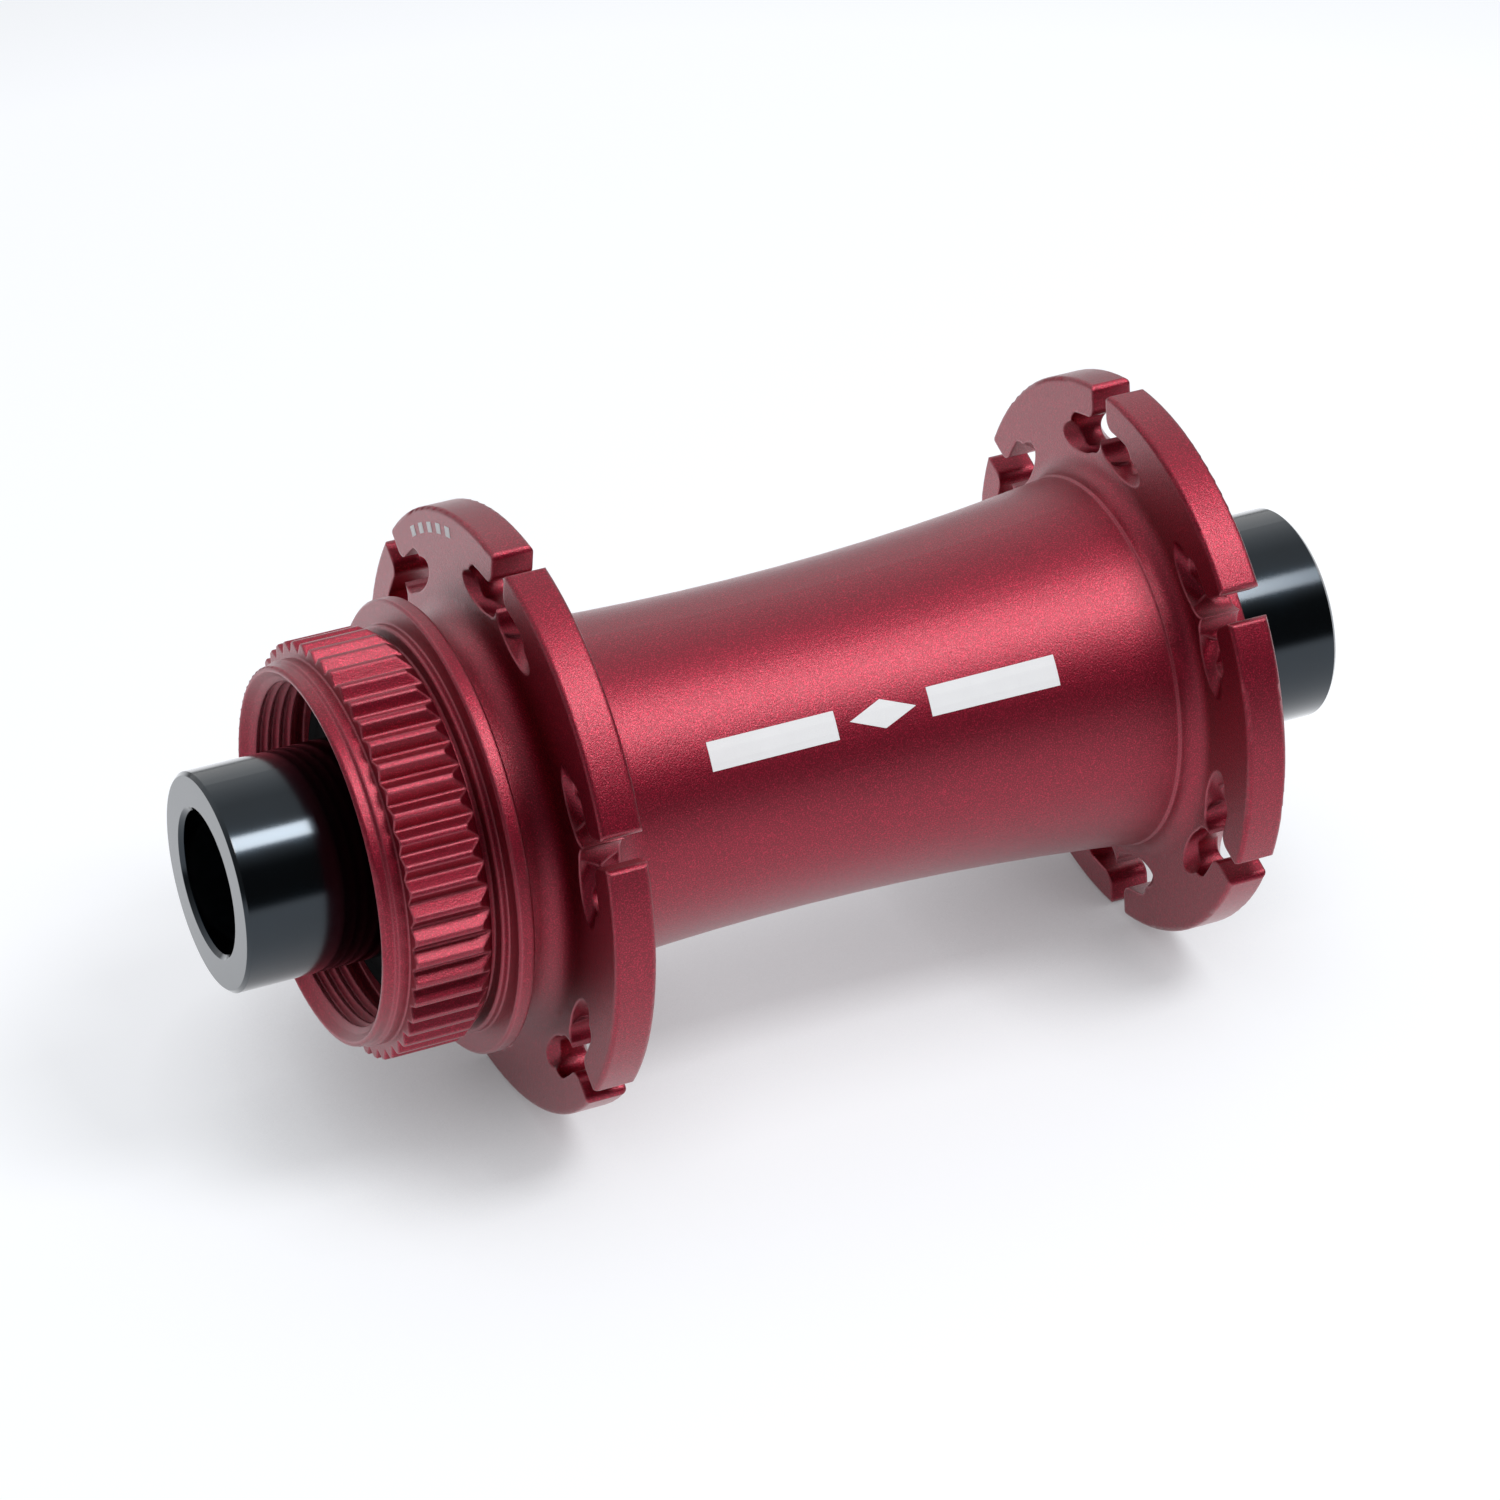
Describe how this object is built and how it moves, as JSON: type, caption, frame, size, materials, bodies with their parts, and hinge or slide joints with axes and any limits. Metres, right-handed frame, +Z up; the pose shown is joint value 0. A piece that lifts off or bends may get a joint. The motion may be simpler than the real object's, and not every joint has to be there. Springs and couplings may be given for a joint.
{
  "type": "bicycle front hub",
  "caption": "Disc-brake front bicycle hub with a splined rotor mount, slotted flanges for straight-pull spokes, cartridge bearings and pull-off end caps for a thru-axle.",
  "frame": {"origin": "on the hub axis, halfway between the outer faces of the two end caps", "axes": "+Y along the hub axis towards the left (brake) side, +X forward, +Z up"},
  "size_m": [0.0514, 0.1, 0.0515],
  "materials": {
    "shell_anodised_red": "bead-blasted and anodised deep crimson, satin",
    "tube_aluminium": "turned, bare",
    "cap_anodised_black": "turned and anodised black, satin gloss",
    "seal_rubber": "soft matte",
    "bearing_steel": "ground bearing steel",
    "ball_steel": "polished bearing steel",
    "cage_plastic": "moulded nylon",
    "bearing_seal": "moulded rubber"
  },
  "bodies": {
    "axle": {"axle_tube": "tube_aluminium", "bearing_left_inner_race": "bearing_steel", "bearing_right_inner_race": "bearing_steel"},
    "hub": {"hub_shell": "shell_anodised_red", "bearing_left_outer_race": "bearing_steel", "bearing_right_outer_race": "bearing_steel", "bearing_left_outboard_seal": "bearing_seal", "bearing_left_inboard_seal": "bearing_seal", "bearing_right_outboard_seal": "bearing_seal", "bearing_right_inboard_seal": "bearing_seal"},
    "left_ball_set": {"bearing_left_balls": "ball_steel", "bearing_left_cage": "cage_plastic"},
    "right_ball_set": {"bearing_right_balls": "ball_steel", "bearing_right_cage": "cage_plastic"},
    "left_cap": {"end_cap_left": "cap_anodised_black", "end_cap_oring_left": "seal_rubber", "dust_seal_left": "seal_rubber"},
    "right_cap": {"end_cap_right": "cap_anodised_black", "end_cap_oring_right": "seal_rubber", "dust_seal_right": "seal_rubber"}
  },
  "joints": [
    {"name": "hub_spin", "type": "hinge", "parent": "axle", "child": "hub", "pos_m": [0, 0, 0], "axis": [0, 1, 0], "continuous": true},
    {"name": "left_ball_set_spin", "type": "hinge", "parent": "axle", "child": "left_ball_set", "pos_m": [0, 0.031, 0], "axis": [0, 1, 0], "continuous": true},
    {"name": "right_ball_set_spin", "type": "hinge", "parent": "axle", "child": "right_ball_set", "pos_m": [0, -0.0345, 0], "axis": [0, 1, 0], "continuous": true},
    {"name": "left_cap_pull", "type": "slide", "parent": "axle", "child": "left_cap", "axis": [0, 1, 0], "range_m": [0, 0.016]},
    {"name": "right_cap_pull", "type": "slide", "parent": "axle", "child": "right_cap", "axis": [0, -1, 0], "range_m": [0, 0.012]}
  ],
  "couplings": [
    {"joint": "left_ball_set_spin", "follows": "hub_spin", "ratio": 0.5814},
    {"joint": "right_ball_set_spin", "follows": "hub_spin", "ratio": 0.5814}
  ]
}
